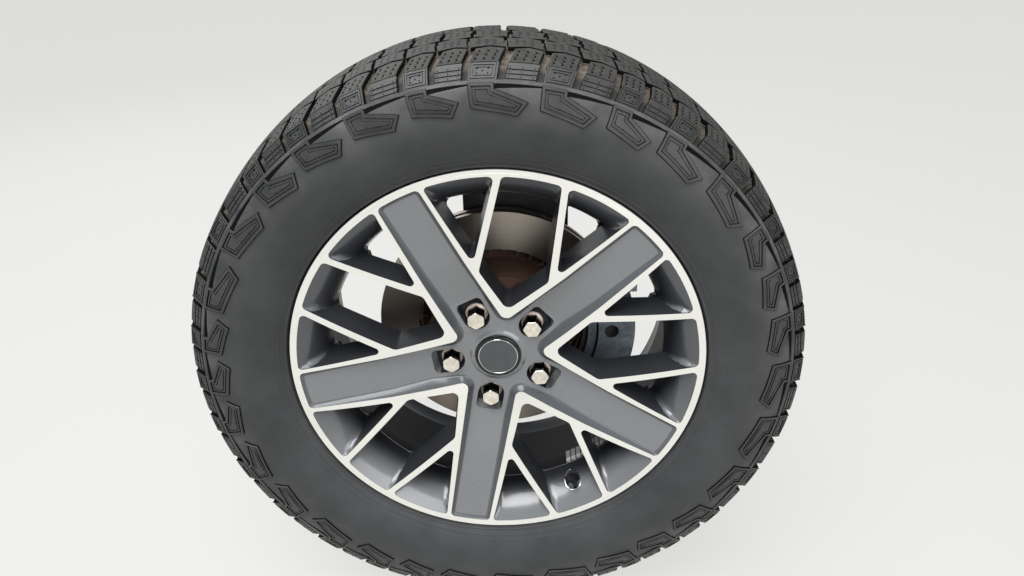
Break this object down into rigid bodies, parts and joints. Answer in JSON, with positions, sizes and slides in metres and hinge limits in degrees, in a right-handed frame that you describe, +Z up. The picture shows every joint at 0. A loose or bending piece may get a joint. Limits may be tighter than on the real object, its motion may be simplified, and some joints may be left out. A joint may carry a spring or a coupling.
{
  "type": "vehicle wheel with hub and disc brake",
  "caption": "Lattice-spoke alloy wheel with an off-road tyre, on a turning hub with a vented disc, floating caliper and bearing housing that bolts to an axle flange.",
  "frame": {"origin": "on the spin axis, in the plane of the face that bolts to the axle's flange", "axes": "+Y inboard along the spin axis, -Y outboard to the wheel's face, +Z up as the wheel stands in use, and the vehicle's front at -X"},
  "size_m": [0.8104, 0.2841, 0.8104],
  "materials": {
    "cap_plastic": "gloss",
    "disc_iron": "ground, with rust film",
    "forged_steel": "dull",
    "nut_chrome": "bright plated",
    "pad_lining": "rough",
    "piston_chrome": "polished",
    "shield_steel": "dull pressed sheet",
    "tyre_rubber": "matt moulded rubber",
    "valve_rubber": "satin",
    "weight_steel": "grey coated steel",
    "wheel_paint": "gloss grey paint with a turned face",
    "zinc_iron": "zinc plated casting",
    "zinc_steel": "zinc plated"
  },
  "bodies": {
    "carrier": {"bearing_housing": "forged_steel", "bleed_screw": "zinc_steel", "bracket_bolts": "zinc_steel", "brake_carrier_plate": "forged_steel", "brake_hose_union": "zinc_steel", "brake_pad_inner": "pad_lining", "brake_pad_outer": "pad_lining", "caliper_bracket": "zinc_iron", "caliper_housing": "zinc_iron", "caliper_piston": "piston_chrome", "guide_pin_lower": "zinc_steel", "guide_pin_upper": "zinc_steel", "splash_shield": "shield_steel"},
    "wheel": {"alloy_wheel": "wheel_paint", "balance_weights_inner": "weight_steel", "balance_weights_outer": "weight_steel", "brake_disc": "disc_iron", "centre_cap": "cap_plastic", "lug_nut_1": "nut_chrome", "lug_nut_2": "nut_chrome", "lug_nut_3": "nut_chrome", "lug_nut_4": "nut_chrome", "lug_nut_5": "nut_chrome", "tyre": "tyre_rubber", "valve_stem": "valve_rubber", "wheel_hub": "forged_steel", "wheel_studs": "zinc_steel"}
  },
  "joints": [
    {"name": "wheel_spin", "type": "hinge", "parent": "carrier", "child": "wheel", "pos_m": [0, 0, 0], "axis": [0, 1, 0], "continuous": true}
  ]
}
